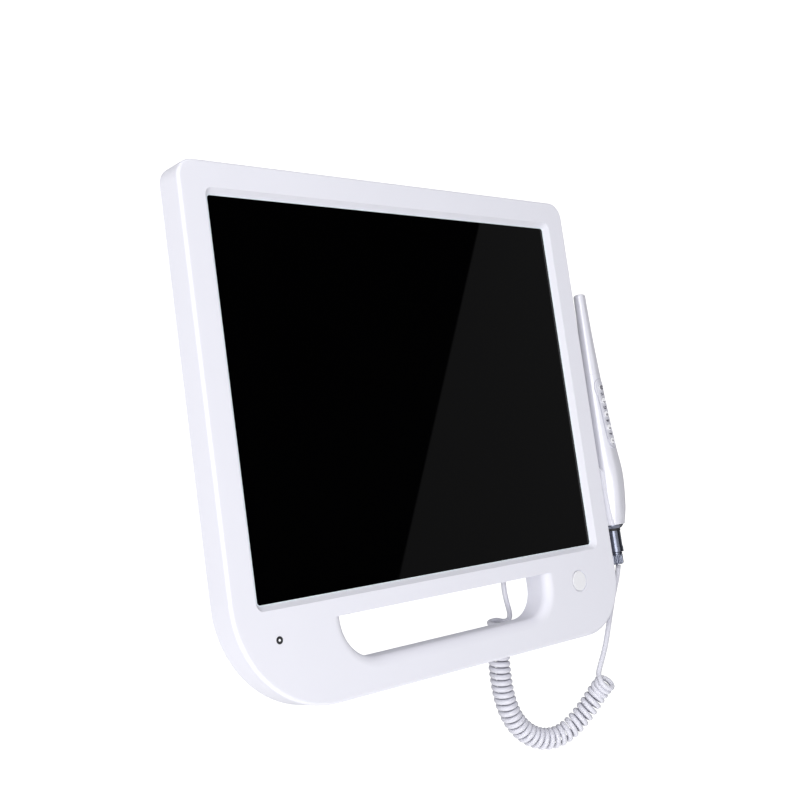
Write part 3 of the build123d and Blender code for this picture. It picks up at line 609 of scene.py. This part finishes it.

# Crease round the strip: wide round the top key, then drawn in along the keys below. It is a slightly raised
# line whose darker grey is painted shade, standing in for the shadow in the crease's groove.
# Millimetres from the middle of the top key.
seam_half = [(0.0, 8.0), (-2.4, 7.5), (-4.3, 5.9), (-5.3, 3.4), (-5.6, 0.4), (-5.4, -2.6), (-4.9, -5.6),
             (-4.5, -9.0), (-4.4, -14.0), (-4.4, -22.0), (-4.4, -30.0), (-4.4, -38.0), (-4.3, -44.0),
             (-3.8, -49.0), (-2.4, -52.0), (0.0, -53.2)]
seam_width = 0.00045
seam_lift = 0.0001
seam_path = [(strip_x + x / 1000, key_mids[0] + z / 1000) for x, z in seam_half]
seam_path += [(2 * strip_x - x, z) for x, z in reversed(seam_path[1:-1])]


def eased(points, rounds):
    """A closed path with its corners rounded by repeated cutting."""
    for _ in range(rounds):
        points = [((1 - t) * p[0] + t * q[0], (1 - t) * p[1] + t * q[1])
                  for p, q in zip(points, points[1:] + points[:1]) for t in (0.25, 0.75)]
    return points


crease = stroke(eased(seam_path, 2), seam_width, seam_lift, closed=True)
new_piece("strip_crease", *crease, "handpiece", "panel_grey", crease_painted_shade)


# ---- Stage -----------------------------------------------------------------------------

floor_reach = 2.6
floor_z = -2.2
floor_glow = 0.62
floor_corners = [(x * floor_reach, y * floor_reach, floor_z) for x, y in ((-1, -1), (1, -1), (1, 1), (-1, 1))]
floor = mesh_object("floor", floor_corners, [(0, 1, 2, 3)], smooth=False)
floor_white = surface("floor_white", (0.93, 0.93, 0.93), 0.9, mottle=0.005, mottle_scale=2)
floor_shader = floor_white.node_tree.nodes["Principled BSDF"]
floor_shader.inputs["Emission Color"].default_value = (1, 1, 1, 1)
floor_shader.inputs["Emission Strength"].default_value = floor_glow
floor.data.materials.append(floor_white)


def softbox(name, place, target, width, height, power):
    """A rectangular area light that faces a target."""
    light = bpy.data.lights.new(name, "AREA")
    light.shape = "RECTANGLE"
    light.size = width
    light.size_y = height
    light.energy = power
    holder = bpy.data.objects.new(name, light)
    scene.collection.objects.link(holder)
    holder.location = place
    holder.rotation_euler = (Vector(target) - Vector(place)).to_track_quat("-Z", "Y").to_euler()


softbox("side_strip", (-1.5, 0.2, 0.1), (0.05, -0.05, -0.05), 0.3, 1.6, 4.4)
softbox("low_box", (-0.9, -1.25, -0.5), (0.1, -0.05, -0.1), 0.9, 0.8, 6.8)
softbox("left_box", (-1.2, -0.85, 0.0), (0.0, -0.05, -0.05), 0.9, 1.4, 7.6)
softbox("top_box", (0.0, -0.6, 1.8), (0.0, 0.0, 0.0), 1.2, 1.2, 5.8)

world = bpy.data.worlds.new("studio")
scene.world = world
world.use_nodes = True
sky = world.node_tree
background = sky.nodes["Background"]
output = sky.nodes["World Output"]
heading = sky.nodes.new("ShaderNodeTexCoord")


def toward(direction, low, high, to_low, to_high):
    """A smooth change with how nearly a ray points along a direction."""
    dot = sky.nodes.new("ShaderNodeVectorMath")
    dot.operation = "DOT_PRODUCT"
    dot.inputs[1].default_value = Vector(direction).normalized()
    sky.links.new(heading.outputs["Generated"], dot.inputs[0])
    ramp = sky.nodes.new("ShaderNodeMapRange")
    ramp.interpolation_type = "SMOOTHSTEP"
    ramp.inputs["From Min"].default_value = low
    ramp.inputs["From Max"].default_value = high
    ramp.inputs["To Min"].default_value = to_low
    ramp.inputs["To Max"].default_value = to_high
    sky.links.new(dot.outputs["Value"], ramp.inputs["Value"])
    return ramp.outputs["Result"]


def combined(operation, first, second):
    """Two of the studio's brightness terms joined by one operation."""
    step = sky.nodes.new("ShaderNodeMath")
    step.operation = operation
    sky.links.new(first, step.inputs[0])
    sky.links.new(second, step.inputs[1])
    return step.outputs["Value"]


# A bright room in front, a dim one behind, and a dark board opposite the camera whose
# slanting edge the screen mirrors.
board_direction = (0.68, -0.73, 0.10)
board_edge = (0.83, 0.92)
board_grey = 0.11
room = toward((-0.08, -0.95, 0.28), -0.55, 0.9, 0.24, 0.80)
clear_of_board = toward(board_direction, *board_edge, 1.0, 0.0)
on_board = toward(board_direction, *board_edge, 0.0, 1.0)
grey_half = toward((0.6871, 0.6344, -0.3544), -0.001, 0.001, 0.0, board_grey)
lit_room = combined("MULTIPLY", room, clear_of_board)
strength = combined("ADD", lit_room, combined("MULTIPLY", on_board, grey_half))
background.inputs["Color"].default_value = (0.985, 0.985, 1.0, 1)
sky.links.new(strength, background.inputs["Strength"])
seen = sky.nodes.new("ShaderNodeBackground")
seen.inputs["Color"].default_value = (1, 1, 1, 1)
seen.inputs["Strength"].default_value = 1.2
ray = sky.nodes.new("ShaderNodeLightPath")
either = sky.nodes.new("ShaderNodeMixShader")
sky.links.new(ray.outputs["Is Camera Ray"], either.inputs["Fac"])
sky.links.new(background.outputs["Background"], either.inputs[1])
sky.links.new(seen.outputs["Background"], either.inputs[2])
sky.links.new(either.outputs["Shader"], output.inputs["Surface"])
scene.view_settings.view_transform = "Standard"
